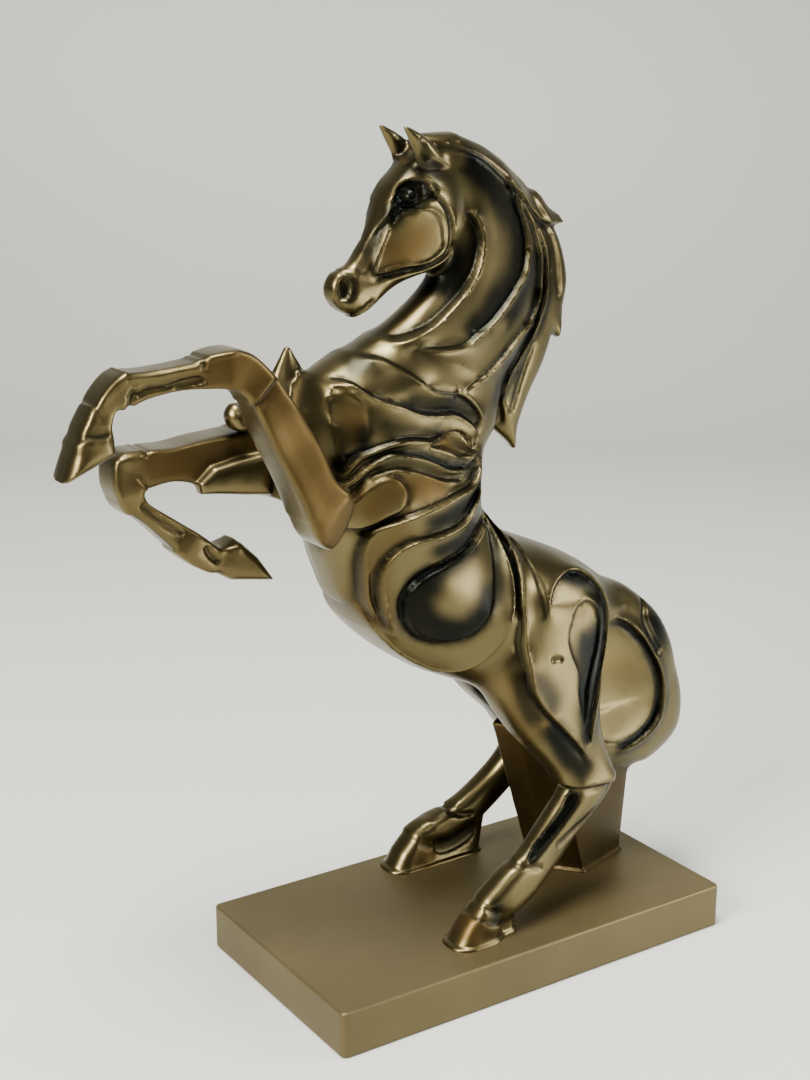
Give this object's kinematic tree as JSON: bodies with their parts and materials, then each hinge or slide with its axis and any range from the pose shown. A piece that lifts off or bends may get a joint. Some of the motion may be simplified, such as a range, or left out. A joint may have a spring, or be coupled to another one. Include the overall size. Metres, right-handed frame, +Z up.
{
  "type": "bronze horse statuette",
  "caption": "Rearing horse in patinated cold-cast bronze, standing on its hind legs and a post under the tail, on a rectangular plinth.",
  "frame": {"origin": "centre of the plinth's underside", "axes": "+Z up; +X along the plinth from the head's end to the tail's end, so the horse looks towards -X; the horse's left flank faces -Y"},
  "size_m": [0.3388, 0.121, 0.391],
  "materials": {
    "patinated_bronze": "satin gold-bronze with a greenish-black patina in the hollows",
    "plinth_bronze": "satin olive-bronze metallic paint with a fine orange-peel texture"
  },
  "bodies": {
    "root": {"horse": "patinated_bronze", "plinth": "plinth_bronze"}
  },
  "joints": []
}
